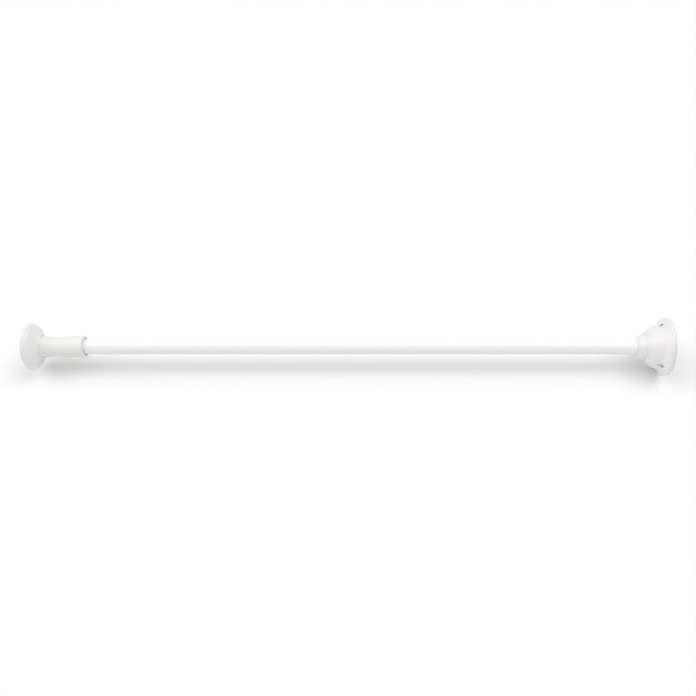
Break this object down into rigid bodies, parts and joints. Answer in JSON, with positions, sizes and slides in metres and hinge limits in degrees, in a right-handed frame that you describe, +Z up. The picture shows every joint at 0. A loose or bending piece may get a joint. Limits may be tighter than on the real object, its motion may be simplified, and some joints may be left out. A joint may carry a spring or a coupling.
{
  "type": "telescopic curtain rod",
  "caption": "Telescopic curtain rod for clamping between two walls: twist grip and rubber foot at one end, screw-fixable bell flange at the other.",
  "frame": {"origin": "centre of the bell flange's wall face", "axes": "+X along the rod, out of the wall face; the rod runs from the origin towards -X to the foot; +Z up when hung"},
  "size_m": [1.025, 0.094, 0.094],
  "materials": {
    "white_moulding": "semi-gloss moulded ABS, cool white",
    "warm_white_moulding": "satin moulded ABS, warm white",
    "white_powder_coat": "gloss white powder coat on thin steel tube",
    "soft_pad": "pale grey translucent soft elastomer",
    "natural_nylon": "natural nylon, as moulded",
    "zinc_steel": "bright zinc-plated steel"
  },
  "bodies": {
    "flange": {"bell_flange": "white_moulding", "base_plate": "natural_nylon", "tube_spigot": "natural_nylon", "spigot_screw": "zinc_steel", "wall_pad": "soft_pad", "neck_collar": "white_moulding", "outer_tube": "white_powder_coat", "socket_screws": "zinc_steel", "mouth_bush": "natural_nylon"},
    "lock": {"lock_ring": "natural_nylon"},
    "inner": {"inner_tube": "white_powder_coat", "lock_core": "natural_nylon", "lock_washer": "zinc_steel", "lock_screw": "zinc_steel", "core_rivets": "zinc_steel", "housing_rivets": "zinc_steel", "jack_housing": "natural_nylon"},
    "grip": {"grip_sleeve": "warm_white_moulding", "grip_nut": "natural_nylon", "thrust_washer": "zinc_steel", "retaining_ring": "zinc_steel"},
    "foot": {"foot_disc": "warm_white_moulding", "foot_pad": "soft_pad", "foot_screw": "zinc_steel", "foot_washer": "zinc_steel", "spindle": "zinc_steel"}
  },
  "joints": [
    {"name": "telescope", "type": "slide", "parent": "flange", "child": "lock", "axis": [-1, 0, 0], "range_m": [0, 0.75]},
    {"name": "twist_lock", "type": "hinge", "parent": "lock", "child": "inner", "pos_m": [0, 0, 0], "axis": [-1, 0, 0], "range_deg": [0, 20]},
    {"name": "grip_turn", "type": "hinge", "parent": "inner", "child": "grip", "pos_m": [0, 0, 0], "axis": [-1, 0, 0], "range_deg": [0, 1440]},
    {"name": "foot_jack", "type": "slide", "parent": "inner", "child": "foot", "axis": [-1, 0, 0], "range_m": [0, 0.02]}
  ],
  "couplings": [
    {"joint": "foot_jack", "follows": "grip_turn", "m_per_rad": 0.00079577}
  ]
}
